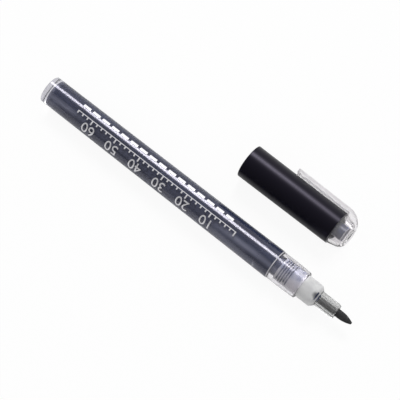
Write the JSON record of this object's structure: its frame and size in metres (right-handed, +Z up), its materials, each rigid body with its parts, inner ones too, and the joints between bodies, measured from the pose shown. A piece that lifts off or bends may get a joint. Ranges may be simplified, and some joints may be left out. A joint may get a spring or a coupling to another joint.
{
  "type": "paint marker",
  "caption": "Slim clear-barrelled paint marker with a sprung valve nib, lying beside its black pull-off cap with a clear end and pocket clip.",
  "frame": {"origin": "on the table, under the middle of the box round the marker and its cap", "axes": "+Z up, +X along the marker from its tail to its point, the cap on the +Y side"},
  "size_m": [0.1266, 0.0352, 0.012],
  "materials": {
    "clear_plastic": "clear moulded plastic, polished",
    "black_paint": "wet black acrylic paint",
    "steel": "bright steel",
    "milky_plastic": "natural milky polyethylene",
    "sleeve_plastic": "thin natural polypropylene, nearly clear",
    "nib_fibre": "bonded fibre soaked in black paint",
    "soft_rubber": "soft rubber",
    "white_plastic": "natural moulded plastic",
    "black_plastic": "black moulded plastic, satin",
    "dark_plastic": "dark moulded plastic",
    "silver_ink": "silver screen-printing ink"
  },
  "bodies": {
    "marker": {"barrel": "clear_plastic", "paint_charge": "black_paint", "front_section": "clear_plastic", "nib_holder": "milky_plastic", "nib_sleeve": "sleeve_plastic", "valve_seat": "soft_rubber", "valve_spring": "steel", "spring_cage": "white_plastic"},
    "nib": {"nib": "nib_fibre"},
    "plunger": {"valve_plunger": "white_plastic"},
    "mixing_ball": {"mixing_ball": "steel"},
    "cap": {"cap_sleeve": "black_plastic", "cap_end": "clear_plastic", "inner_cap": "dark_plastic"}
  },
  "joints": [
    {"name": "nib_press", "type": "slide", "parent": "marker", "child": "nib", "axis": [-1, 0, 0], "range_m": [0, 0.0015], "stiffness_N_per_m": 250, "springref_m": -0.001},
    {"name": "valve_open", "type": "slide", "parent": "marker", "child": "plunger", "axis": [-1, 0, 0], "range_m": [0, 0.0015], "deforming": ["valve_spring"]},
    {"name": "ball_run", "type": "slide", "parent": "marker", "child": "mixing_ball", "axis": [1, 0, 0], "range_m": [-0.024, 0.0565]},
    {"name": "cap_pull", "type": "slide", "parent": "marker", "child": "cap", "axis": [1, 0, 0], "range_m": [0, 0.062]}
  ],
  "couplings": [
    {"joint": "valve_open", "follows": "nib_press", "ratio": 1}
  ]
}
